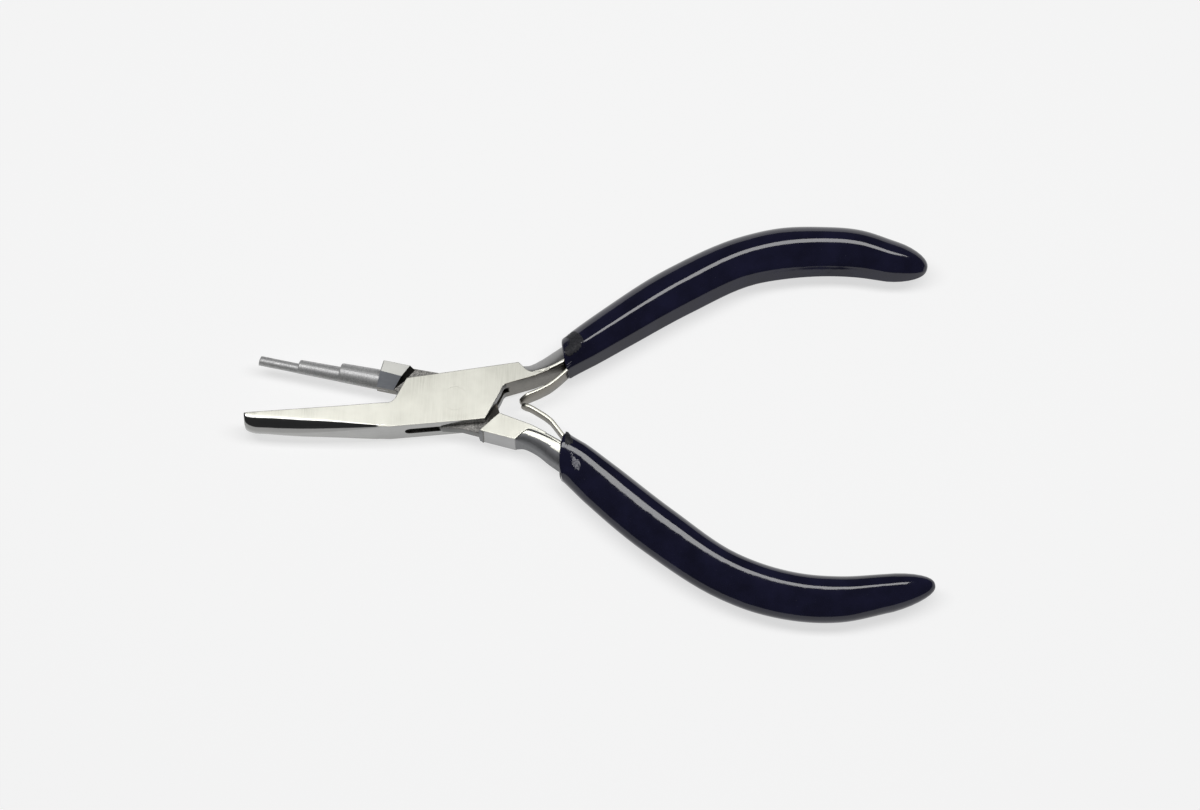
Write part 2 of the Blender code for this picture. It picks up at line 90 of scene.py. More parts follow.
# Fineness of the round stretches
ARC_STEPS = 12
CORNER_STEPS = 10
RIM_STEPS = 2
RIM_ARC = 5
ROUND_SIDES = 96
SLOPE_STEPS = 18
JAW_ROWS = 4
TANG_ROWS = 6
BAR_ROWS = 4
LINING_ROWS = 3
LEAF_ROWS = 8
GRIP_ROWS = 8
GRIP_STEPS = 28
FILM_ROWS = 90
FILM_COLUMNS = 110

# Which faces take which steel, by how far the normal leans from straight up
WALL_NORMAL = 0.3
FLAT_NORMAL = 0.97
JAW_FLAT_NORMAL = 0.985
TONGUE_EDGE = 0.9

# Sizes of the slow variation in the materials
CLOUD = 9.0
RIPPLE_SIZE = (5.0, 2.5, 2.5)

# Leaf springs: how much a stretch curves between its bends, and the corner
LEAF_BEND = 0.4
LEAF_CORNER = 0.12

# Grips: fullness of the outer side, rings that swell at the collar, far end, and the fit inside
CREST = 1.28
COLLAR_RINGS = 8
GRIP_END_TAPER = 0.2
GRIP_END_FULLNESS = 0.85
GRIP_END_ANGLES = (12, 24, 36, 48, 58, 67, 75, 81, 86)
LINING_GAP = 0.05
LEAF_ROOM = 0.9
LEAF_ROOM_END = 34.0
MOUTH_INSET = 1.35
LIP_STEPS = ((0.12, 0.12), (0.35, 0.3), (0.7, 0.28), (0.92, 0.1))

# Torn film: how ragged its edge is, and how far it is tucked under the skin outside it
FILM_RAG = 0.06
FILM_FINE_RAG = 0.012
FILM_EDGE = 0.02
FILM_TUCK = 0.3

# Plan outlines: x, y and the radius of the corner
BOX_OUTLINE = [
    (-15.2, -1.66, 0.0), (-12.5, -1.38, 2.2), (-10.0, 4.0, 0.3), (12.45, 8.42, 0.2),
    (14.6, 6.45, 2.6), (17.2, 6.55, 1.6), (18.9, 7.6, 0.0), (18.7, 6.98, 0.0), (15.9, 5.6, 4.0),
    (9.7, 3.4, 1.2), (9.1, 1.8, 2.0), (6.35, -3.98, 0.0), (-12.9, -6.62, 3.0),
    (-15.2, -6.66, 0.0),
]
SLOT_OUTLINE = [
    (-15.0, 0.6, 0.0), (-13.05, -1.15, 0.0), (-12.7, -2.2, 1.0), (-10.0, -5.6, 1.0),
    (-9.4, -8.5, 0.0), (11.0, -8.5, 0.0), (13.5, -1.0, 0.0), (11.6, 3.4, 1.0), (6.6, 5.75, 4.0),
    (1.2, 6.35, 0.5), (0.9, 9.0, 0.0), (-15.0, 9.0, 0.0),
]
TONGUE_OUTLINE = [
    (-13.0, 2.2, 0.0), (-11.9, 2.0, 0.8), (-6.2, -2.4, 6.0), (-2.5, -5.45, 0.6),
    (1.6, -5.5, 3.0), (6.4, -6.6, 0.0), (9.6, -5.0, 0.0), (9.3, -2.3, 0.6), (8.2, 1.0, 3.0),
    (3.6, 5.3, 3.0), (-0.4, 5.8, 3.0), (-12.0, 7.4, 0.0),
]
SHOULDER_OUTLINE = [
    (9.1, -2.62, 0.2), (5.28, -6.52, 0.2), (12.5, -8.12, 0.2), (15.0, -5.6, 2.4),
    (16.6, -5.75, 1.6), (18.6, -6.8, 0.0), (18.8, -6.32, 0.0), (15.8, -4.86, 3.0),
]
SHOULDER_RAMP = 0.6
SHOULDER_RAMP_INSET = 0.15
HEEL_EDGE = ((3.0, -6.02), (17.0, -9.12))
HEEL_ROUND = 1.3
STRIP_END = 22.0

# Tang of each handle in front of its collar: inner plan point, outer plan point, half
# thickness, inner rim, width of the flat strip, drop beside it, half height of the outer wall,
# and how square the slope between strip and wall is
UPPER_TANG = [
    ((11.4, 4.25), (10.8, 7.5), 3.9, 0.15, 1.2, 0.1, 1.2, 1.5),
    ((13.4, 4.72), (12.8, 8.5), 3.95, 0.15, 1.1, 0.1, 0.8, 1.4),
    ((15.9, 5.68), (14.7, 9.0), 3.96, 0.2, 0.95, 0.15, 0.3, 1.25),
    ((18.7, 7.0), (17.0, 10.35), 3.93, 0.35, 0.65, 0.15, 0.2, 1.25),
    ((21.8, 8.65), (19.6, 12.3), 3.8, 0.6, 0.85, 0.1, 0.2, 1.35),
    ((26.2, 12.5), (24.2, 15.7), 3.2, 0.8, 1.0, 0.0, 0.2, 1.8),
]
LOWER_TANG = [
    ((10.4, -3.6), (10.0, -7.0), 3.9, 0.15, 1.6, 0.2, 3.2, 2.4),
    ((13.2, -4.45), (12.4, -7.95), 3.95, 0.15, 1.3, 0.3, 2.9, 2.4),
    ((15.8, -5.17), (14.3, -8.3), 3.96, 0.2, 0.7, 0.5, 1.5, 2.2),
    ((18.8, -6.45), (17.0, -9.6), 3.93, 0.2, 0.5, 0.4, 1.2, 2.1),
    ((21.9, -7.97), (19.6, -11.45), 3.75, 0.3, 0.6, 0.15, 1.6, 2.1),
    ((25.3, -9.95), (22.8, -13.6), 3.2, 0.5, 0.8, 0.0, 1.4, 2.1),
]

# Bar inside each grip: inner plan point, outer plan point, half thickness,
# and the reach of the inner and outer corner rounding (across, up)
UPPER_BAR = [
    ((26.2, 12.5), (24.2, 15.7), 3.2, (0.8, 0.8), (2.2, 1.8)),
    ((32.5, 16.6), (30.0, 20.4), 3.1, (1.0, 1.0), (1.8, 1.8)),
    ((45.9, 23.7), (42.4, 29.1), 2.9, (1.6, 1.6), (1.6, 1.6)),
    ((59.6, 31.0), (57.6, 37.0), 2.7, (1.6, 1.6), (1.6, 1.6)),
    ((73.1, 33.7), (72.9, 39.3), 2.4, (1.6, 1.6), (1.6, 1.6)),
    ((82.6, 33.8), (83.2, 38.2), 2.0, (1.4, 1.4), (1.4, 1.4)),
]
LOWER_BAR = [
    ((25.3, -9.95), (22.8, -13.6), 3.2, (0.8, 0.8), (2.4, 1.8)),
    ((30.5, -13.8), (27.2, -18.1), 3.1, (1.0, 1.0), (1.8, 1.8)),
    ((44.3, -22.5), (40.5, -27.7), 2.9, (1.6, 1.6), (1.6, 1.6)),
    ((58.1, -31.3), (55.9, -36.9), 2.7, (1.6, 1.6), (1.6, 1.6)),
    ((71.5, -35.1), (71.1, -40.5), 2.4, (1.6, 1.6), (1.6, 1.6)),
    ((83.6, -35.0), (84.4, -39.2), 2.0, (1.4, 1.4), (1.4, 1.4)),
]

# Grips: inner plan point, outer plan point, half thickness and place of the crown across the
# width, from the collar to the far end
UPPER_GRIP = [
    ((23.1, 6.75), (21.3, 15.2), 4.9, 0.47),
    ((28.1, 9.85), (23.3, 17.1), 4.9, 0.49),
    ((34.4, 13.95), (28.6, 21.5), 4.85, 0.51),
    ((47.1, 22.1), (41.5, 31.1), 4.8, 0.54),
    ((60.0, 28.9), (57.0, 39.1), 4.7, 0.59),
    ((66.6, 30.4), (64.8, 41.2), 4.7, 0.61),
    ((73.1, 31.2), (73.0, 41.8), 4.6, 0.63),
    ((80.4, 31.3), (81.4, 41.4), 4.5, 0.62),
    ((86.7, 30.65), (88.8, 39.2), 4.3, 0.57),
]
LOWER_GRIP = [
    ((23.2, -5.3), (22.7, -15.4), 4.9, 0.3),
    ((26.9, -7.5), (24.5, -17.1), 4.9, 0.3),
    ((32.6, -11.5), (27.2, -19.6), 4.85, 0.31),
    ((45.4, -20.9), (39.4, -29.3), 4.8, 0.32),
    ((58.6, -29.4), (55.2, -38.7), 4.7, 0.33),
    ((65.2, -31.7), (62.8, -41.3), 4.7, 0.34),
    ((71.7, -32.9), (70.9, -42.6), 4.6, 0.35),
    ((79.1, -33.1), (79.6, -42.4), 4.5, 0.36),
    ((87.9, -32.2), (89.9, -39.75), 4.2, 0.4),
]
UPPER_GRIP_END = (94.9, 33.7)
LOWER_GRIP_END = (98.1, -33.75)

# Inner side of the upper grip: share of the way from the crown to the edge, share of the height.
# With STEEP_STEPS it has to give GRIP_STEPS + 1 points
STEEP_SIDE = ((0.0, 1.0), (0.12, 0.97), (0.3, 0.88), (0.52, 0.75), (0.72, 0.62), (0.82, 0.42),
              (0.91, 0.21), (1.0, 0.0))
STEEP_STEPS = 4

# Torn film on the collars: share of the width where it begins and ends, ring by ring
UPPER_FILM = ((0.4, 0.93), (0.38, 0.93), (0.37, 0.93), (0.37, 0.93), (0.38, 0.93), (0.39, 0.93),
              (0.41, 0.93), (0.44, 0.93), (0.5, 0.88), (0.56, 0.66))
LOWER_FILM = ((0.05, 0.48), (0.06, 0.42), (0.1, 0.36), (0.15, 0.32), (0.2, 0.28))
# Lumpy patch on the lower collar, light in colour as a painted highlight: listed the same way
LOWER_PAINTED_GLINT = ((0.46, 0.56), (0.44, 0.6), (0.43, 0.62), (0.43, 0.64), (0.44, 0.65), (0.45, 0.66),
               (0.47, 0.67), (0.49, 0.68), (0.5, 0.68), (0.51, 0.67), (0.53, 0.66))

# Leaf springs: plan path from the free tip to the root inside the grip
UPPER_LEAF = [
    (13.1, 1.15), (14.8, 2.2), (16.8, 3.2), (18.8, 4.4), (20.1, 5.5), (22.3, 7.75), (24.4, 10.15),
    (26.8, 11.9), (33.0, 15.9),
]
LOWER_LEAF = [
    (13.45, 0.4), (15.2, -0.1), (18.4, -1.9), (19.6, -2.8), (21.9, -5.6), (23.6, -7.8),
    (25.8, -9.5), (30.9, -13.15),
]

# Camera, as the tool is seen from above its lower handle
VIEW_CENTRE = (29.3, 1.3)
VIEW_TILT = 2.6
VIEW_ELEVATION = 70.7
VIEW_DISTANCE = 1000.0
VIEW_LENS = 147.9

# Stage and light
FLOOR_REACH = 3000.0
FLOOR_DROP = 0.2
SOFTBOX_SIZE = (900.0, 164.0)
SOFTBOX_HEIGHT = 620.0
SOFTBOX_BEHIND = 50.0
SOFTBOX_POWER = 3.25


# ---------------------------------------------------------------- materials

def node_material(name, metallic, roughness):
    """A new material, its node tree and its Principled shader."""
    material = bpy.data.materials.new(name)
    material.use_nodes = True
    tree = material.node_tree
    shader = tree.nodes["Principled BSDF"]
    shader.inputs["Metallic"].default_value = metallic
    shader.inputs["Roughness"].default_value = roughness
    return material, tree, shader


def stretched_noise(tree, stretch, scale, detail=6.0, roughness=0.6):
    """Noise in object space, in units of a millimetre, stretched along each axis."""
    place = tree.nodes.new("ShaderNodeTexCoord")
    mapping = tree.nodes.new("ShaderNodeMapping")
    mapping.inputs["Scale"].default_value = [1000.0 / value for value in stretch]
    grain = tree.nodes.new("ShaderNodeTexNoise")
    grain.inputs["Scale"].default_value = scale
    grain.inputs["Detail"].default_value = detail
    grain.inputs["Roughness"].default_value = roughness
    tree.links.new(place.outputs["Object"], mapping.inputs["Vector"])
    tree.links.new(mapping.outputs["Vector"], grain.inputs["Vector"])
    return grain.outputs["Fac"]


def spread(tree, source, low, high, to_low, to_high):
    """Maps source from low..high to to_low..to_high."""
    node = tree.nodes.new("ShaderNodeMapRange")
    node.inputs["From Min"].default_value = low
    node.inputs["From Max"].default_value = high
    node.inputs["To Min"].default_value = to_low
    node.inputs["To Max"].default_value = to_high
    tree.links.new(source, node.inputs["Value"])
    return node.outputs["Result"]


def blend_colours(tree, fac, first, second):
    """Mixes two colours, each a triple or a socket, by the factor."""
    node = tree.nodes.new("ShaderNodeMix")
    node.data_type = "RGBA"
    for socket, value in ((node.inputs["A"], first), (node.inputs["B"], second)):
        if isinstance(value, bpy.types.NodeSocket):
            tree.links.new(value, socket)
        else:
            socket.default_value = (*value, 1.0)
    tree.links.new(fac, node.inputs["Factor"])
    return node.outputs["Result"]


def add_bump(tree, shader, height, distance, strength=1.0, after=None):
    """Bumps the shader's normal by distance in millimetres, on top of an earlier bump if given."""
    bump = tree.nodes.new("ShaderNodeBump")
    bump.inputs["Distance"].default_value = distance * MM
    bump.inputs["Strength"].default_value = strength
    tree.links.new(height, bump.inputs["Height"])
    if after is not None:
        tree.links.new(after, bump.inputs["Normal"])
    tree.links.new(bump.outputs["Normal"], shader.inputs["Normal"])
    return bump.outputs["Normal"]


def ground_steel(name, dark, light, roughness, stretch, grain, ripple=0.0, metallic=1.0):
    """Stainless steel with fine ground lines along the longest value of stretch, in millimetres."""
    material, tree, shader = node_material(name, metallic, roughness)
    lines = stretched_noise(tree, stretch, 1.0)
    patches = stretched_noise(tree, (CLOUD, CLOUD, CLOUD), 1.0, 3.0)
    mixed = blend_colours(tree, spread(tree, patches, 0.35, 0.65, 0.0, 1.0), dark, light)
    streaks = spread(tree, lines, 0.3, 0.7, 0.0, 0.7)
    colour = blend_colours(tree, streaks, mixed, light)
    tree.links.new(colour, shader.inputs["Base Color"])
    tree.links.new(spread(tree, lines, 0.25, 0.75, roughness - 0.05, roughness + 0.07),
                   shader.inputs["Roughness"])
    waves = None
    if ripple:
        waves = add_bump(tree, shader, stretched_noise(tree, RIPPLE_SIZE, 1.0, 1.0), ripple)
    add_bump(tree, shader, lines, grain, 1.0, waves)
    return material


def along_x(tree, start, end):
    """Rises from 0 to 1 between two places along the tool, in millimetres."""
    place = tree.nodes.new("ShaderNodeTexCoord")
    parts = tree.nodes.new("ShaderNodeSeparateXYZ")
    tree.links.new(place.outputs["Object"], parts.inputs["Vector"])
    return spread(tree, parts.outputs["X"], start * MM, end * MM, 0.0, 1.0)


def blasted_steel(name, dark, light, roughness, size, grain, metallic, shade_from=None):
    """Bead-blasted steel, grain of the given size in millimetres; past shade_from, a painted shade.
    """
    material, tree, shader = node_material(name, metallic, roughness)
    pits = stretched_noise(tree, (size, size, size), 1.0, 4.0, 0.7)
    patches = stretched_noise(tree, (3.0, 3.0, 3.0), 1.0, 3.0)
    mixed = blend_colours(tree, spread(tree, pits, 0.35, 0.65, 0.0, 1.0), dark, light)
    colour = blend_colours(tree, spread(tree, patches, 0.4, 0.7, 0.0, 0.5), mixed, dark)
    if shade_from:
        # Painted shade: a dark, patchy tone that takes over along x
        painted_shade = blend_colours(tree, spread(tree, patches, 0.5, 0.7, 0.0, 1.0), (0.03, 0.028, 0.024),
                               (0.14, 0.125, 0.1))
        colour = blend_colours(tree, along_x(tree, *shade_from), colour, painted_shade)
    tree.links.new(colour, shader.inputs["Base Color"])
    tree.links.new(spread(tree, pits, 0.3, 0.7, roughness + 0.08, roughness - 0.08),
                   shader.inputs["Roughness"])
    add_bump(tree, shader, pits, grain)
    return material


def dipped_vinyl(name):
    """Glossy, very dark navy vinyl with a faint orange-peel skin and fine dust."""
    material, tree, shader = node_material(name, 0.0, 0.08)
    tone = stretched_noise(tree, (6.0, 6.0, 6.0), 1.0, 3.0)
    base = blend_colours(tree, spread(tree, tone, 0.3, 0.7, 0.0, 1.0),
                         (0.006, 0.006, 0.018), (0.011, 0.011, 0.034))
    dust = stretched_noise(tree, (0.16, 0.16, 0.16), 1.0, 2.0, 0.5)
    specks = spread(tree, dust, 0.74, 0.8, 0.0, 0.6)
    tree.links.new(blend_colours(tree, specks, base, (0.2, 0.2, 0.22)), shader.inputs["Base Color"])
    tree.links.new(spread(tree, tone, 0.3, 0.7, 0.06, 0.1), shader.inputs["Roughness"])
    shader.inputs["IOR"].default_value = 1.5
    swell = stretched_noise(tree, (3.5, 3.5, 3.5), 1.0, 2.0, 0.4)
    skin = add_bump(tree, shader, swell, 0.04)
    peel = stretched_noise(tree, (0.5, 0.5, 0.5), 1.0, 2.0, 0.5)
    add_bump(tree, shader, peel, 0.0015, 1.0, skin)
    return material


SATIN = ground_steel("satin_faces", (0.42, 0.416, 0.37), (0.56, 0.556, 0.5), 0.36,
                     (0.2, 7.0, 0.2), 0.0015)
WALL = ground_steel("ground_walls", (0.25, 0.25, 0.255), (0.32, 0.32, 0.32), 0.3,
                    (4.0, 4.0, 0.1), 0.001)
# Painted shade: a dark copy of the wall steel for walls between the handles and under the stop block
INNER_SHADE_WALL = ground_steel("inner_walls_painted_shade", (0.08, 0.075, 0.062), (0.16, 0.15, 0.13), 0.3,
                          (5.0, 5.0, 0.15), 0.001)
SHADED_WALL = ground_steel("shaded_walls", (0.02, 0.02, 0.02), (0.1, 0.1, 0.095), 0.3,
                           (4.0, 4.0, 0.15), 0.001)
POLISHED = ground_steel("polished_jaw", (0.27, 0.27, 0.265), (0.33, 0.33, 0.32), 0.1,
                        (8.0, 0.2, 0.2), 0.0003, ripple=0.016)
TANG_STEEL = ground_steel("brushed_tang", (0.25, 0.25, 0.25), (0.34, 0.34, 0.335), 0.36,
                          (0.3, 3.0, 3.0), 0.001, metallic=0.75)
# Painted shade: a darker, bluish copy of the tang steel for the lower tang, also rougher
SHADED_LOWER_STEEL = ground_steel("brushed_lower_tang_painted_shade", (0.15, 0.152, 0.16), (0.22, 0.223, 0.23), 0.55,
                           (0.3, 3.0, 3.0), 0.001, metallic=0.85)
BLASTED = blasted_steel("blasted_jaw", (0.4, 0.4, 0.405), (0.68, 0.68, 0.67), 0.52, 0.3, 0.02, 0.65)
# Past x 6.2 to 7.2 mm the tongue's colour darkens to a painted shade, where it lies in shadow between
# the cheeks
FORGED = blasted_steel("rough_tongue", (0.07, 0.068, 0.065), (0.36, 0.35, 0.33), 0.5, 0.3, 0.03,
                       0.8, (6.2, 7.2))
BLOCK = ground_steel("ground_block", (0.42, 0.42, 0.4), (0.52, 0.52, 0.49), 0.42,
                     (2.0, 0.25, 0.6), 0.002, metallic=0.8)
# Painted light: a lighter, bluish copy of the block steel for its front facet
LIT_BLOCK_FACE = ground_steel("ground_block_facet_painted_light", (0.36, 0.38, 0.42), (0.5, 0.52, 0.56), 0.5,
                          (2.0, 0.25, 0.6), 0.002, metallic=0.6)
LEAF_FACE = ground_steel("spring_leaf_face", (0.13, 0.12, 0.1), (0.2, 0.185, 0.155), 0.36,
                         (3.0, 3.0, 0.2), 0.0015)
LEAF_EDGE = ground_steel("spring_leaf_edge", (0.48, 0.47, 0.41), (0.6, 0.59, 0.52), 0.36,
                         (1.2, 1.2, 1.2), 0.001)
RIVET_STEEL = ground_steel("flush_rivet", (0.42, 0.416, 0.37), (0.56, 0.556, 0.5), 0.36,
                           (0.2, 7.0, 0.2), 0.0015)
VINYL = dipped_vinyl("dipped_vinyl")
TORN_VINYL = blasted_steel("torn_vinyl", (0.004, 0.004, 0.008), (0.03, 0.03, 0.036), 0.62, 0.4, 0.01,
                           0.0)
# Painted highlight: light speckled vinyl that stands in for a glint on the lower collar; its bumps
# are real
PAINTED_GLINT_VINYL = blasted_steel("painted_glint_vinyl", (0.02, 0.02, 0.045), (0.4, 0.4, 0.43), 0.3, 0.3,
                              0.01, 0.0)


# ---------------------------------------------------------------- mesh tools

def add_object(name, mesh, material=None):
    """An object in the scene for the mesh."""
    thing = bpy.data.objects.new(name, mesh)
    bpy.context.scene.collection.objects.link(thing)
    if material:
        mesh.materials.append(material)
    return thing


def mesh_of(shell, name):
    """Cleans a bmesh and turns it into a mesh, its normals facing out."""
    bmesh.ops.remove_doubles(shell, verts=shell.verts, dist=1e-8)
    bmesh.ops.recalc_face_normals(shell, faces=shell.faces)
    mesh = bpy.data.meshes.new(name)
    shell.to_mesh(mesh)
    shell.free()
    return mesh


def rounded_outline(corners):
    """Plan points of a closed outline whose corners are rounded by their third value."""
    points = []
    count = len(corners)
    for index, (x, y, radius) in enumerate(corners):
        corner = Vector((x, y))
        if radius == 0.0:
            points.append(corner)
            continue
        before = (Vector(corners[index - 1][:2]) - corner).normalized()
        after = (Vector(corners[(index + 1) % count][:2]) - corner).normalized()
        half_angle = before.angle(after) / 2
        setback = radius / math.tan(half_angle)
        centre = corner + (before + after).normalized() * (radius / math.sin(half_angle))
        start = corner + before * setback - centre
        turn = (corner + after * setback - centre).angle_signed(start)
        steps = max(2, round(ARC_STEPS * abs(turn)))
        for step in range(steps + 1):
            spin = Matrix.Rotation(turn * step / steps, 2)
            points.append(centre + spin @ start)
    return points


def plate(name, corners, bottom, top, material, wall=None, rim=RIM):
    """A flat outline as a slab from bottom to top, its rims slightly rounded."""
    shell = bmesh.new()
    low = [shell.verts.new(Vector((p.x, p.y, bottom)) * MM) for p in rounded_outline(corners)]
    floor = shell.faces.new(low)
    lifted = bmesh.ops.extrude_face_region(shell, geom=[floor])["geom"]
    raised = [item for item in lifted if isinstance(item, bmesh.types.BMVert)]
    bmesh.ops.translate(shell, verts=raised, vec=(0.0, 0.0, (top - bottom) * MM))
    bmesh.ops.recalc_face_normals(shell, faces=shell.faces)
    if rim:
        rims = [edge for edge in shell.edges
                if abs(edge.verts[0].co.z - edge.verts[1].co.z) < 1e-7]
        bmesh.ops.bevel(shell, geom=rims, offset=rim * MM, segments=RIM_STEPS, profile=0.5,
                        affect="EDGES", clamp_overlap=True)
    slab = add_object(name, mesh_of(shell, name), material)
    if wall:
        slab.data.materials.append(wall)
        for face in slab.data.polygons:
            if abs(face.normal.z) < WALL_NORMAL:
                face.material_index = 1
    return slab


def section(inner, outer, half, inner_corner, outer_corner, steps=CORNER_STEPS):
    """Ring of points standing on the plan line from inner to outer, rounded at its corners."""
    across = Vector(outer) - Vector(inner)
    width = across.length
    across.normalize()
    ring = []
    for start, (reach, rise), side, sign in (
        (180.0, inner_corner, 0.0, 1.0), (90.0, outer_corner, width, 1.0),
        (0.0, outer_corner, width, -1.0), (-90.0, inner_corner, 0.0, -1.0),
    ):
        centre = side + (reach if side == 0.0 else -reach)
        for step in range(steps + 1):
            angle = math.radians(start - 90.0 * step / steps)
            offset = centre + reach * math.cos(angle)
            height = sign * (half - rise) + rise * math.sin(angle)
            place = Vector(inner) + across * offset
            ring.append((place.x, place.y, MIDDLE + height))
    return ring


def loft(name, rings, material):
    """A closed skin through rings that have the same number of points."""
    shell = bmesh.new()
    rows = [[shell.verts.new(Vector(point) * MM) for point in ring] for ring in rings]
    shell.faces.new(rows[0])
    shell.faces.new(rows[-1])
    for row, after in zip(rows, rows[1:]):
        for index in range(len(row)):
            beside = (index + 1) % len(row)
            shell.faces.new((row[index], row[beside], after[beside], after[index]))
    return add_object(name, mesh_of(shell, name), material)


def flatten(station):
    """The numbers of a station as one flat list."""
    values = []
    for entry in station:
        values.extend(entry if isinstance(entry, tuple) else (entry,))
    return values


def smooth(rows, steps, bend=1.0):
    """Rows of numbers with rows added between them; a small bend keeps the stretches straight."""
    gaps = [math.dist(first[:2], last[:2]) for first, last in zip(rows, rows[1:])]
    rates = [[(b - a) / gap for a, b in zip(first, last)]
             for first, last, gap in zip(rows, rows[1:], gaps)]
    slopes = [rates[0]]
    for index in range(1, len(gaps)):
        share = gaps[index - 1] / (gaps[index - 1] + gaps[index])
        slopes.append([a + (b - a) * share for a, b in zip(rates[index - 1], rates[index])])
    slopes.append(rates[-1])
    slopes = [[value * bend for value in slope] for slope in slopes]
    result = []
    for index, gap in enumerate(gaps):
        for step in range(steps):
            t = step / steps
            rest = 1 - t
            result.append([
                a * rest * rest * (1 + 2 * t) + b * t * t * (3 - 2 * t)
                + gap * t * rest * (p * rest - q * t)
                for a, b, p, q in zip(rows[index], rows[index + 1], slopes[index], slopes[index + 1])
            ])
    result.append(list(rows[-1]))
    return result


def combine(target, other, operation):
    """Joins or cuts two meshes for good, each face keeping its own material."""
    modifier = target.modifiers.new("cut", "BOOLEAN")
    modifier.object = other
    modifier.operation = operation
    modifier.solver = "EXACT"
    modifier.material_mode = "TRANSFER"
    bpy.context.view_layer.update()
    evaluated = target.evaluated_get(bpy.context.evaluated_depsgraph_get())
    mesh = bpy.data.meshes.new_from_object(evaluated)
    target.modifiers.clear()
    target.data = mesh
    bpy.data.objects.remove(other)


def paint(thing, material, chosen):
    """Gives the material to the faces whose centre and normal pass the test, in millimetres."""
    thing.data.materials.append(material)
    slot_number = len(thing.data.materials) - 1
    for face in thing.data.polygons:
        if chosen(face.center / MM, face.normal):
            face.material_index = slot_number


def finish_steel(thing, angle=32.0):
    """Smooth shading that stays crisp along the edges sharper than the angle, in degrees."""
    thing.data.shade_smooth()
    thing.data.set_sharp_from_angle(angle=math.radians(angle))
    weighted = thing.modifiers.new("normals", "WEIGHTED_NORMAL")
    weighted.keep_sharp = True


def rod(name, radius, start, end, material, sides=ROUND_SIDES):
    """A plain cylinder between two points, used as a cutter or as a pin."""
    start, end = Vector(start), Vector(end)
    along = end - start
    frame_of_rod = Matrix.Translation((start + end) / 2 * MM) @ \
        along.to_track_quat("Z", "Y").to_matrix().to_4x4()
    shell = bmesh.new()
    bmesh.ops.create_cone(shell, cap_ends=True, segments=sides, radius1=radius * MM,
                          radius2=radius * MM, depth=along.length * MM, matrix=frame_of_rod)
    return add_object(name, mesh_of(shell, name), material)


# ---------------------------------------------------------------- steel

def jaw_frame(angle):
    """Directions of a jaw's meeting line: towards the tip, and away from the other jaw."""
    radians = math.radians(angle)
    return Vector((-math.cos(radians), -math.sin(radians))), \
        Vector((-math.sin(radians), math.cos(radians)))


def concave_jaw():
    """Half-round jaw that swells into the square root at the box, grooved along its flat."""
    tipward, up = jaw_frame(CONCAVE_ANGLE)
    rows = [
        [42.8, 2.1, 2.6, 0.1, 1.8], [42.65, 2.45, 2.72, 0.1, 2.15], [42.2, 2.85, 2.82, 0.1, 2.4],
        [41.4, 3.25, 2.9, 0.1, 2.6], [38.5, 3.72, 3.0, 0.1, 2.75], [35.0, 4.15, 3.15, 0.1, 2.7],
        [31.3, 4.5, 3.3, 0.1, 2.5], [27.0, 4.75, 3.45, 0.1, 2.15], [23.2, 4.93, 3.6, 0.1, 1.7],
        [19.3, 5.09, 3.8, 0.1, 1.1], [15.2, 5.13, 4.012, 0.1, 0.45], [12.5, 4.8, 3.985, 0.1, 0.3],
    ]
    rings = []
    for reach, depth, half, round_in, round_out in smooth(rows, JAW_ROWS):
        inner = tipward * reach
        rings.append(section(inner, inner - up * depth, half, (round_in, round_in),
                             (min(round_out, depth - 0.15), min(round_out, half - 0.1))))
    jaw = loft("concave_jaw", rings, POLISHED)
    jaw.data.materials.append(SATIN)
    for face in jaw.data.polygons:
        if abs(face.normal.z) > JAW_FLAT_NORMAL:
            face.material_index = 1
    start = tipward * GROOVE_END + up * (GROOVE_RADIUS - GROOVE_DEPTH)
    end = tipward * (JAW_REACH + 2.0) + up * (GROOVE_RADIUS - GROOVE_DEPTH)
    groove = rod("groove", GROOVE_RADIUS, (*start, MIDDLE), (*end, MIDDLE), POLISHED)
    combine(jaw, groove, "DIFFERENCE")
    return jaw


def scooped_section(inner, outer, half, rim, strip, drop, wall, power):
    """Ring with a flat strip along its inner edge and a slope rolling down to the outer wall."""
    across = Vector(outer) - Vector(inner)
    width = across.length
    across.normalize()
    upper = []
    for step in range(RIM_ARC + 1):
        angle = math.pi - math.pi / 2 * step / RIM_ARC
        upper.append((rim + rim * math.cos(angle), half - rim + rim * math.sin(angle)))
    strip_end = max(strip, rim + 0.05)
    upper.append((strip_end, half))
    start = strip_end + drop * 0.6
    for step in range(SLOPE_STEPS + 1):
        angle = math.pi / 2 * (1 - step / SLOPE_STEPS)
        reach = max(math.cos(angle), 0.0) ** (2 / power)
        rise = max(math.sin(angle), 0.0) ** (2 / power)
        upper.append((start + (width - start) * reach, wall + (half - drop - wall) * rise))
    ring = []
    for offset, height in upper + [(offset, -height) for offset, height in upper[::-1]]:
        spot = Vector(inner) + across * offset
        ring.append((spot.x, spot.y, MIDDLE + height))
    return ring


def tang(name, stations, bar, material):
    """A handle's steel: the scooped tang in front of the collar, and the bar in the grip."""
    rings = [scooped_section(row[0:2], row[2:4], *row[4:])
             for row in smooth([flatten(row) for row in stations], TANG_ROWS)]
    steel = loft(name, rings, material)
    rows = smooth([flatten(row) for row in bar], BAR_ROWS)
    core = [section(row[0:2], row[2:4], row[4], row[5:7], row[7:9]) for row in rows]
    paint(steel, SATIN, lambda centre, normal: abs(normal.z) > FLAT_NORMAL and centre.x < STRIP_END)
    combine(steel, loft(name + "_bar", core, material), "UNION")
    return steel


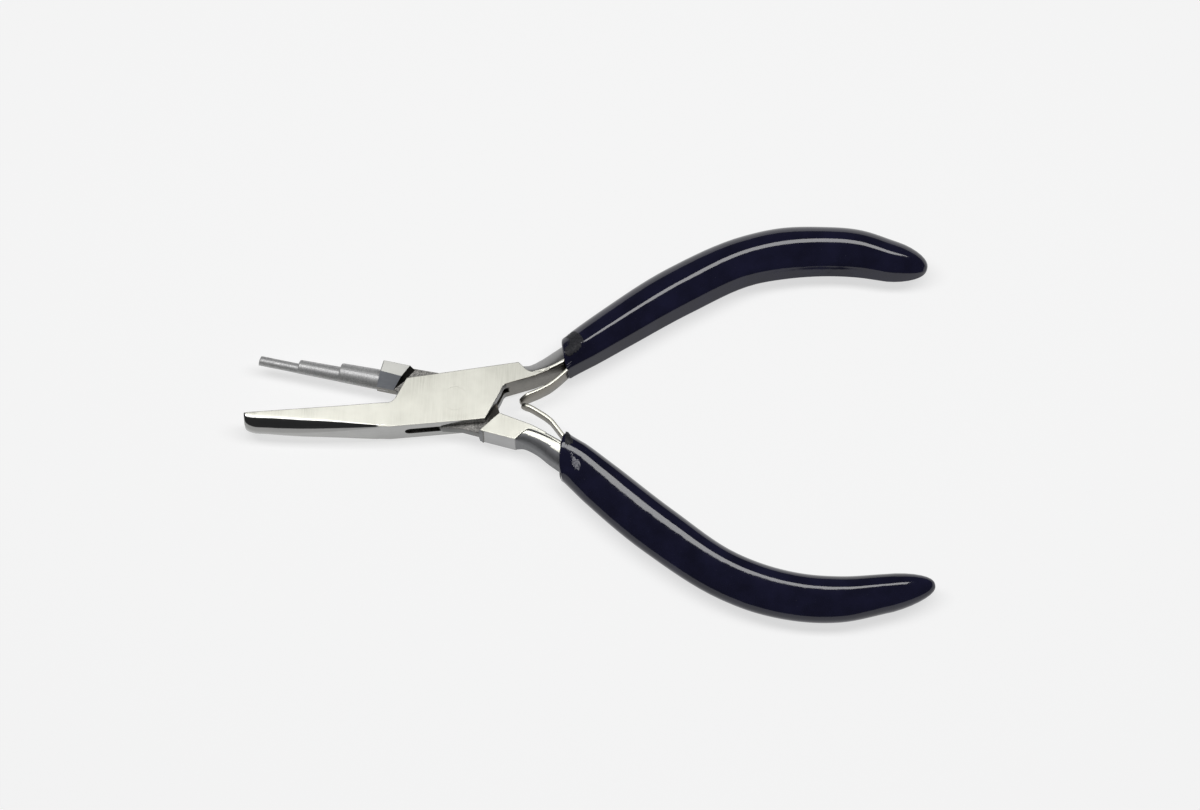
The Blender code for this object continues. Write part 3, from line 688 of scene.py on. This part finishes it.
def stepped_jaw():
    """Three round steps that share one straight side."""
    tipward, up = jaw_frame(STEPPED_ANGLE)
    rings = []
    for reach, radius in (
        (41.0, 0.72), (40.93, 0.88), (40.8, 0.98), (40.6, 1.0), (33.0, 1.0), (32.95, 1.22),
        (32.85, 1.36), (32.65, 1.43), (24.5, 1.53), (24.45, 1.74), (24.35, 1.88), (24.1, 1.95),
        (14.0, 2.12),
    ):
        corner = (radius * 0.995, radius * 0.995)
        inner = tipward * reach
        rings.append(section(inner, inner + up * 2 * radius, radius, corner, corner))
    return loft("stepped_jaw", rings, BLASTED)


def stop_block():
    """Faceted block behind the steps; its rear face slopes down to the tongue."""
    tipward, up = jaw_frame(STEPPED_ANGLE)
    rings = []
    for inner_reach, outer_reach, half, facet, edge in (
        (16.35, 15.95, 3.5, 2.4, 0.16), (16.2, 15.8, 3.6, 2.4, 0.1),
        (12.9, 10.45, 3.6, 2.4, 0.1), (12.3, 9.5, 1.25, 0.1, 0.1),
    ):
        inner = tipward * inner_reach + up * 0.02
        outer = tipward * outer_reach + up * 5.15
        rings.append(section(inner, outer, half, (2.8, facet), (edge, edge), 1))
    return loft("stop_block", rings, BLOCK)


def shoulder_ramp():
    """Slope from the tongue up to the shoulder's full thickness."""
    inner = Vector(SHOULDER_OUTLINE[0][:2])
    outer = Vector(SHOULDER_OUTLINE[1][:2])
    edge = (outer - inner).normalized()
    inner += edge * SHOULDER_RAMP_INSET
    outer -= edge * SHOULDER_RAMP_INSET
    forward = Vector((edge.y, -edge.x))
    rings = []
    for shift, half in ((SHOULDER_RAMP, 1.25), (0.0, 3.9), (-0.8, 3.9)):
        rings.append(section(inner + forward * shift, outer + forward * shift, half,
                             (0.1, 0.1), (0.1, 0.1), 1))
    return loft("shoulder_ramp", rings, FORGED)


def slot_cutter():
    """The room the tongue swings in, its front end rounded where it shows in the side wall."""
    slot = plate("slot", SLOT_OUTLINE, MIDDLE - SLOT / 2, MIDDLE + SLOT / 2, FORGED, rim=0.0)
    shell = bmesh.new()
    shell.from_mesh(slot.data)
    front = [edge for edge in shell.edges
             if abs(edge.verts[0].co.z - edge.verts[1].co.z) < 1e-7
             and all(vert.co.x < -9.3 * MM and vert.co.y < -5.0 * MM for vert in edge.verts)]
    bmesh.ops.bevel(shell, geom=front, offset=SLOT * SLOT_FRONT_ROUND * MM, segments=5, profile=0.5,
                    affect="EDGES", clamp_overlap=False)
    shell.to_mesh(slot.data)
    shell.free()
    return slot


def pivot_hole(gap, material):
    """Cuts the rivet's hole with a gap around the rivet."""
    return rod("hole", RIVET_RADIUS + gap, (0, 0, -1), (0, 0, THICKNESS + 1), material)


def outer_half():
    """The forging with the concave jaw, the slotted box and the upper handle."""
    half = plate("outer_half_steel", BOX_OUTLINE, 0.0, THICKNESS, SATIN, POLISHED)
    combine(half, concave_jaw(), "UNION")
    combine(half, tang("upper_tang", UPPER_TANG, UPPER_BAR, TANG_STEEL), "UNION")
    combine(half, slot_cutter(), "DIFFERENCE")
    combine(half, pivot_hole(RIVET_SEAM, SATIN), "DIFFERENCE")
    # Painted shade on the walls between the handles, facing the lower one
    paint(half, INNER_SHADE_WALL, lambda centre, normal: centre.x > 8.6 and normal.y < -0.3
          and centre.y > 1.5)
    paint(half, SHADED_WALL, lambda centre, normal: 5.0 < centre.x < 10.2 and normal.x > 0.3
          and -4.5 < centre.y < 4.2)
    finish_steel(half)
    return half


def heel_cutter():
    """Rounds the shoulder's outer edge where it meets the back face."""
    first, last = (Vector(place) for place in HEEL_EDGE)
    along = (last - first).normalized()
    outward = Vector((along.y, -along.x))
    rings = []
    for place in (first, last):
        ring = [(*(place + outward * HEEL_ROUND), -HEEL_ROUND),
                (*(place - outward * HEEL_ROUND), -HEEL_ROUND)]
        for step in range(CORNER_STEPS + 1):
            angle = math.pi / 2 * step / CORNER_STEPS
            spot = place - outward * HEEL_ROUND * (1 - math.sin(angle))
            ring.append((*spot, HEEL_ROUND * (1 - math.cos(angle))))
        ring.append((*(place + outward * HEEL_ROUND), HEEL_ROUND))
        rings.append(ring)
    return loft("heel_cutter", rings, WALL)


def inner_half():
    """The forging with the stepped jaw, the tongue, the shoulder and the lower handle."""
    half = plate("inner_half_steel", TONGUE_OUTLINE, MIDDLE - TONGUE / 2, MIDDLE + TONGUE / 2, FORGED)
    paint(half, SHADED_WALL, lambda centre, normal: normal.z < TONGUE_EDGE)
    combine(half, plate("shoulder", SHOULDER_OUTLINE, 0.0, THICKNESS, SATIN, WALL), "UNION")
    combine(half, shoulder_ramp(), "UNION")
    block = stop_block()
    # Painted light on the block's front facet
    paint(block, LIT_BLOCK_FACE, lambda centre, normal: normal.y < -0.3 and normal.z > 0.2)
    # Painted shade on the block's front wall below the facet
    paint(block, INNER_SHADE_WALL, lambda centre, normal: normal.y < -0.3 and abs(normal.z) < 0.2)
    paint(block, SHADED_WALL, lambda centre, normal: normal.x > 0.35)
    combine(half, block, "UNION")
    combine(half, stepped_jaw(), "UNION")
    combine(half, tang("lower_tang", LOWER_TANG, LOWER_BAR, SHADED_LOWER_STEEL), "UNION")
    combine(half, heel_cutter(), "DIFFERENCE")
    paint(half, SHADED_WALL, lambda centre, normal: normal.y > 0.25
          and 0.15 < abs(normal.z) < FLAT_NORMAL
          and 9.5 < centre.x < STRIP_END + 3.0 and centre.y < -2.0)
    paint(half, FORGED, lambda centre, normal: normal.x < -0.4 and abs(normal.z) < FLAT_NORMAL
          and 5.0 < centre.x < 7.5 and centre.y < -3.5)
    combine(half, pivot_hole(TONGUE_CLEARANCE, FORGED), "DIFFERENCE")
    finish_steel(half)
    return half


def pivot_rivet():
    """The pin through the box, ground flush with both cheeks."""
    pin = rod("pivot_rivet_pin", RIVET_RADIUS, (0, 0, RIVET_SEAM),
              (0, 0, THICKNESS - RIVET_SEAM), RIVET_STEEL)
    shell = bmesh.new()
    shell.from_mesh(pin.data)
    rims = [edge for edge in shell.edges if abs(edge.verts[0].co.z - edge.verts[1].co.z) < 1e-7]
    bmesh.ops.bevel(shell, geom=rims, offset=RIVET_CHAMFER * MM, segments=2, affect="EDGES")
    shell.to_mesh(pin.data)
    shell.free()
    finish_steel(pin)
    return pin


# ---------------------------------------------------------------- springs

def leaf(name, path, thickness, width):
    """A leaf spring: a strip standing on its path, its free tip rounded."""
    rows = smooth([list(point) for point in path], LEAF_ROWS, LEAF_BEND)
    places = [Vector(row) for row in rows]
    half = width / 2
    rings = []
    travelled = 0.0
    for index, place in enumerate(places):
        if index:
            travelled += (place - places[index - 1]).length
        ahead = places[min(index + 1, len(places) - 1)] - places[max(index - 1, 0)]
        side = Vector((-ahead.y, ahead.x)).normalized() * thickness / 2
        short = max(half * 0.8 - travelled, 0.0)
        height = math.sqrt(half * half - (short * 1.15) ** 2)
        corner = (LEAF_CORNER, LEAF_CORNER)
        rings.append(section(place - side, place + side, height, corner, corner, 3))
    strip = loft(name, rings, LEAF_FACE)
    paint(strip, LEAF_EDGE, lambda centre, normal: abs(normal.z) > 0.5)
    strip.data.shade_smooth()
    strip.data.set_sharp_from_angle(angle=math.radians(50.0))
    return strip


# ---------------------------------------------------------------- grips

def crowned_section(inner, outer, half, crown, steep):
    """Ring whose highest line lies at the given share of its width from the inner side.

    A steep section falls gently from its crown, then down a sloping wall on the inner side.
    """
    across = Vector(outer) - Vector(inner)
    fall = []
    rise = []
    for step in range(GRIP_STEPS + 1):
        angle = math.pi / 2 * (1 - step / GRIP_STEPS)
        fall.append((crown + math.cos(angle) ** CREST * (1 - crown), math.sin(angle)))
    if steep:
        for share, height in smooth([list(point) for point in STEEP_SIDE[::-1]], STEEP_STEPS):
            rise.append((crown * (1 - share), height))
    else:
        for step in range(GRIP_STEPS + 1):
            angle = math.pi / 2 * step / GRIP_STEPS
            rise.append((crown * (1 - math.cos(angle)), math.sin(angle)))
    upper = rise + fall
    ring = []
    for share, height in upper + [(share, -height) for share, height in upper[::-1]]:
        spot = Vector(inner) + across * share
        ring.append((spot.x, spot.y, MIDDLE + half * height))
    return ring


def bulged(ring, inner, across, width, back, amount):
    """A ring pushed towards the box at the middle of its front and back faces."""
    result = []
    for x, y, z in ring:
        share = (Vector((x, y)) - inner).dot(across) / width
        swell = amount * max(1 - abs(2 * share - 1) ** 2.5, 0.0)
        result.append((x + back.x * swell, y + back.y * swell, z))
    return result


def grip_rows(stations, end):
    """Numbers of each ring of a grip's skin, from the collar to the rounded far end."""
    rows = smooth([flatten(row) for row in stations], GRIP_ROWS)
    x0, y0, x1, y1, half, crown = rows[-1]
    middle = Vector(((x0 + x1) / 2, (y0 + y1) / 2))
    arm = Vector((x1 - x0, y1 - y0)) / 2
    for degrees in GRIP_END_ANGLES:
        advance = math.sin(math.radians(degrees))
        shrink = math.cos(math.radians(degrees)) ** GRIP_END_FULLNESS * (1 - GRIP_END_TAPER * advance)
        centre = middle.lerp(Vector(end), advance)
        rows.append([*(centre - arm * shrink), *(centre + arm * shrink), half * shrink, crown])
    return rows


def grip(name, stations, end, core, bulge, steep):
    """A dipped sleeve that hugs the handle's bar, open at the collar, closed at the far end."""
    skin = [crowned_section(row[0:2], row[2:4], row[4], row[5], steep)
            for row in grip_rows(stations, end)]
    lining = []
    for x0, y0, x1, y1, half, a, b, c, d in smooth([flatten(row) for row in core], LINING_ROWS):
        inner, outer = Vector((x0, y0)), Vector((x1, y1))
        across = (outer - inner).normalized()
        room = LEAF_ROOM if x0 < LEAF_ROOM_END else LINING_GAP
        lining.append(section(inner - across * room, outer + across * LINING_GAP,
                              half + LINING_GAP, (a, b), (c, d), GRIP_STEPS))
    first = stations[0]
    inner, outer = Vector(first[0]), Vector(first[1])
    across = (outer - inner).normalized()
    mouth = section(inner + across * MOUTH_INSET, outer - across * MOUTH_INSET, 3.8, (0.4, 0.6),
                    (3.4, 2.1), GRIP_STEPS)
    lip = []
    back = Vector((-across.y, across.x))
    if back.x > 0:
        back = -back
    for share, forward in LIP_STEPS:
        lip.append([
            tuple(Vector(a).lerp(Vector(b), share) + Vector((*back, 0.0)) * forward)
            for a, b in zip(mouth, skin[0])
        ])
    collar = [mouth] + lip + skin[:COLLAR_RINGS]
    for index, ring in enumerate(collar):
        fade = min((len(collar) - index) / COLLAR_RINGS, 1.0)
        collar[index] = bulged(ring, inner, across, (outer - inner).length, back, bulge * fade)
    sleeve = loft(name, lining[::-1] + collar + skin[COLLAR_RINGS:], VINYL)
    sleeve.data.shade_smooth()
    sleeve.data.set_sharp_from_angle(angle=math.radians(60.0))
    return sleeve


def skin_points(row, shares, steep):
    """Places on a grip's front skin at the given shares of the width from its inner side."""
    start, end = Vector(row[0:2]), Vector(row[2:4])
    across = (end - start) / (end - start).length_squared
    ring = crowned_section(start, end, row[4], row[5], steep)
    upper = [((Vector(point[:2]) - start).dot(across), point[2]) for point in ring[:len(ring) // 2]]
    places = []
    index = 0
    for share in shares:
        while index < len(upper) - 2 and upper[index + 1][0] < share:
            index += 1
        (low, first), (high, last) = upper[index], upper[index + 1]
        part = (share - low) / max(high - low, 1e-9)
        places.append(Vector((*start.lerp(end, share), first + (last - first) * part)))
    return places


def torn_film(name, stations, steep, outline, lift, lump, seed, material):
    """A thin ragged film on a grip's collar, lumpy, with its edge tucked under the skin.

    The outline lists the share of the width where the film begins and ends, ring by ring.
    """
    rows = smooth([flatten(row) for row in stations[:3]], GRIP_ROWS)
    rows.insert(0, [2 * a - b for a, b in zip(rows[0], rows[1])])
    shell = bmesh.new()
    grid = []
    for along in range(FILM_ROWS + 1):
        place = along / FILM_ROWS * (len(outline) - 1)
        index = min(int(place), len(outline) - 2)
        part = place - index
        row = [a + (b - a) * part for a, b in zip(rows[index], rows[index + 1])]
        start, end = (a + (b - a) * part for a, b in zip(outline[index], outline[index + 1]))
        shares = [across / FILM_COLUMNS * 0.98 + 0.01 for across in range(FILM_COLUMNS + 1)]
        spots = skin_points(row, shares, steep)
        line = []
        for across, share in enumerate(shares):
            ragged = noise.noise(Vector((place * 1.3, share * 9.0, seed))) * FILM_RAG
            fine = noise.noise(Vector((place * 5.0, share * 40.0, seed + 3.0)))
            inside = min(share - start, end - share, (len(outline) - 1 - place) * 0.08)
            edge = min(max((inside + ragged + fine * FILM_FINE_RAG) / FILM_EDGE, -1.0), 1.0)
            slope = spots[min(across + 1, FILM_COLUMNS)] - spots[max(across - 1, 0)]
            outward = Vector((-slope.z * slope.x, -slope.z * slope.y, slope.xy.length_squared))
            if edge > 0.0:
                height = lift * edge + lump * max(fine, 0.0)
            else:
                height = FILM_TUCK * edge
            line.append(shell.verts.new((spots[across] + outward.normalized() * height) * MM))
        grid.append(line)
    for low, high in zip(grid, grid[1:]):
        for across in range(FILM_COLUMNS):
            shell.faces.new((low[across], low[across + 1], high[across + 1], high[across]))
    bmesh.ops.recalc_face_normals(shell, faces=shell.faces)
    mesh = bpy.data.meshes.new(name)
    shell.to_mesh(mesh)
    shell.free()
    film = add_object(name, mesh, material)
    if film.data.polygons[0].normal.z < 0.0:
        film.data.flip_normals()
    film.data.shade_smooth()
    return film


def join(target, other):
    """Adds another shell to the target, its faces keeping their own material."""
    offset = len(target.data.materials)
    for material in other.data.materials:
        target.data.materials.append(material)
    shell = bmesh.new()
    shell.from_mesh(target.data)
    count = len(shell.faces)
    shell.from_mesh(other.data)
    shell.faces.ensure_lookup_table()
    for face in shell.faces[count:]:
        face.material_index += offset
    shell.to_mesh(target.data)
    shell.free()
    bpy.data.objects.remove(other)


# ---------------------------------------------------------------- the stage

def stage():
    """A plain pale floor just under the tool."""
    floor_mesh = bpy.data.meshes.new("floor")
    reach = FLOOR_REACH * MM
    level = cad_box[0][2] - FLOOR_DROP * MM
    floor_mesh.from_pydata(
        [(-reach, -reach, level), (reach, -reach, level), (reach, reach, level),
         (-reach, reach, level)],
        [], [(0, 1, 2, 3)])
    material, tree, shader = node_material("pale_floor", 0.0, 0.9)
    shader.inputs["Base Color"].default_value = (0.35, 0.35, 0.35, 1.0)
    shader.inputs["Emission Color"].default_value = (1.0, 1.0, 1.0, 1.0)
    shader.inputs["Emission Strength"].default_value = 0.66
    floor = add_object("floor", floor_mesh, material)


def softbox(name, place, size, power, aim):
    """A rectangular light at a place, facing a point."""
    light = bpy.data.lights.new(name, "AREA")
    light.shape = "RECTANGLE"
    light.size = size[0] * MM
    light.size_y = size[1] * MM
    light.energy = power
    thing = bpy.data.objects.new(name, light)
    bpy.context.scene.collection.objects.link(thing)
    thing.location = Vector(place) * MM
    toward = (Vector(aim) - Vector(place)).normalized()
    thing.rotation_euler = toward.to_track_quat("-Z", "Y").to_euler()


def lights():
    """One wide softbox overhead, and a dim even surround."""
    centre = (VIEW_CENTRE[0], VIEW_CENTRE[1], MIDDLE)
    spot = (centre[0], centre[1] + SOFTBOX_BEHIND, SOFTBOX_HEIGHT)
    softbox("overhead_softbox", spot, SOFTBOX_SIZE, SOFTBOX_POWER, centre)
    world = bpy.data.worlds.new("studio")
    world.use_nodes = True
    background = world.node_tree.nodes["Background"]
    background.inputs["Color"].default_value = (0.5, 0.51, 0.53, 1.0)
    background.inputs["Strength"].default_value = 0.12
    bpy.context.scene.world = world


def camera():
    """The camera, looking at the middle of the open tool."""
    data = bpy.data.cameras.new("camera")
    data.lens = VIEW_LENS
    data.sensor_width = 36.0
    data.clip_end = 20.0
    thing = bpy.data.objects.new("camera", data)
    bpy.context.scene.collection.objects.link(thing)
    target = Vector((*VIEW_CENTRE, MIDDLE)) * MM
    elevation = math.radians(VIEW_ELEVATION)
    turn = math.radians(VIEW_TILT)
    away = Vector((math.sin(turn) * math.cos(elevation), -math.cos(turn) * math.cos(elevation),
                   math.sin(elevation)))
    thing.location = target + away * VIEW_DISTANCE * MM
    thing.rotation_euler = (math.pi / 2 - elevation, 0.0, turn)
    bpy.context.scene.camera = thing


# ---------------------------------------------------------------- assembly

def seat(piece, body, node):
    """Fixes a piece to its body, in the place of its CAD node."""
    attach(piece, body)
    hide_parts(node)


stage()
lights()
camera()

seat(outer_half(), "outer_half", "outer_half")
seat(inner_half(), "inner_half", "inner_half")
seat(pivot_rivet(), "outer_half", "pivot_rivet")
upper_sleeve = grip("upper_grip_sleeve", UPPER_GRIP, UPPER_GRIP_END, UPPER_BAR, 0.6, True)
join(upper_sleeve, torn_film("upper_film", UPPER_GRIP, True, UPPER_FILM, 0.08, 0.14, 1.0,
                             TORN_VINYL))
seat(upper_sleeve, "outer_half", "upper_grip")
lower_sleeve = grip("lower_grip_sleeve", LOWER_GRIP, LOWER_GRIP_END, LOWER_BAR, 0.95, False)
join(lower_sleeve, torn_film("lower_film", LOWER_GRIP, False, LOWER_FILM, 0.05, 0.1, 2.0,
                             TORN_VINYL))
# Lumpy patch whose light colour is a painted highlight on the lower collar
join(lower_sleeve, torn_film("lower_painted_glint", LOWER_GRIP, False, LOWER_PAINTED_GLINT, 0.06, 0.06, 5.0,
                             PAINTED_GLINT_VINYL))
seat(lower_sleeve, "inner_half", "lower_grip")

for name, path, thickness, width, node, bodies in (
    ("upper_leaf_strip", UPPER_LEAF, 0.6, 5.4, "upper_leaf_spring", ("outer_half", "inner_half")),
    ("lower_leaf_strip", LOWER_LEAF, 0.7, 3.0, "lower_leaf_spring", ("inner_half", "outer_half")),
):
    strip = leaf(name, path, thickness, width)
    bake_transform(strip)
    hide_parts(node)

for node in ("upper_spring_rivet", "lower_spring_rivet"):
    bpy.data.objects[node].data.materials.clear()
    bpy.data.objects[node].data.materials.append(RIVET_STEEL)

bpy.context.scene.view_settings.view_transform = "Standard"
